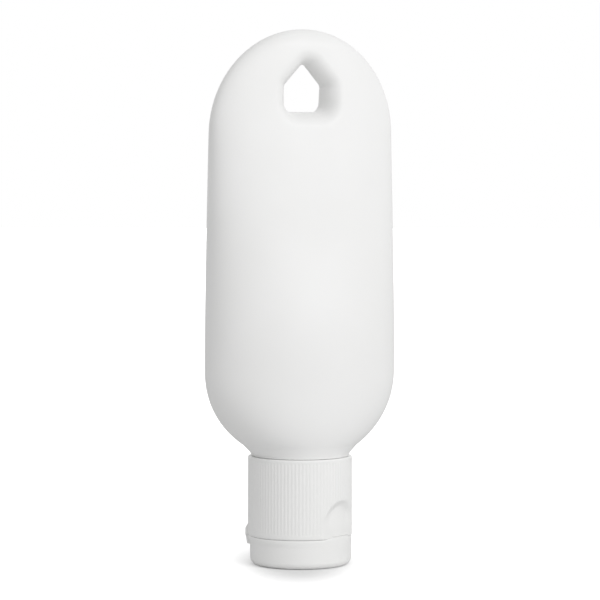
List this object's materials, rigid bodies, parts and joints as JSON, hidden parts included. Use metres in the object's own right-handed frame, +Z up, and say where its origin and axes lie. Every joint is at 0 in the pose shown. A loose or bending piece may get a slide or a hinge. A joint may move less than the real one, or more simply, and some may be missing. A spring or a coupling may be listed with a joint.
{
  "type": "sunscreen bottle",
  "caption": "Flat wedge-shaped squeeze bottle with a hang hole, standing upside down on a ribbed screw cap with a flip lid.",
  "frame": {"origin": "on the bottle's axis at the table plane, under the closed lid that the bottle stands on", "axes": "+Z up along the bottle's axis towards the hang hole, +X across the wide body, front face towards -Y"},
  "size_m": [0.0438, 0.0262, 0.1178],
  "materials": {
    "bottle_shell": "satin white blow-moulded polyethylene",
    "lotion_fill": "glossy off-white lotion",
    "liner_foam": "matt foamed liner",
    "cap_plastic": "semi-gloss white moulded polypropylene"
  },
  "bodies": {
    "bottle_body": {"bottle": "bottle_shell", "lotion": "lotion_fill"},
    "liner": {"cap_liner": "liner_foam"},
    "cap": {"cap_base": "cap_plastic", "hinge_spring": "cap_plastic", "hinge_strap_left": "cap_plastic", "hinge_strap_right": "cap_plastic"},
    "lid": {"cap_lid": "cap_plastic"}
  },
  "joints": [
    {"name": "cap_travel", "type": "slide", "parent": "bottle_body", "child": "liner", "axis": [0, 0, -1], "range_m": [0, 0.00477]},
    {"name": "cap_turn", "type": "hinge", "parent": "liner", "child": "cap", "pos_m": [0, 0, 0.015], "axis": [0, 0, -1], "range_deg": [0, 540]},
    {"name": "lid_flip", "type": "hinge", "parent": "cap", "child": "lid", "pos_m": [-0.00617, 0.00988, 0.0061], "axis": [0.848, 0.5299, 0], "range_deg": [0, 180], "deforming": ["hinge_spring", "hinge_strap_left", "hinge_strap_right"]}
  ],
  "couplings": [
    {"joint": "cap_travel", "follows": "cap_turn", "m_per_rad": 0.00050532}
  ]
}
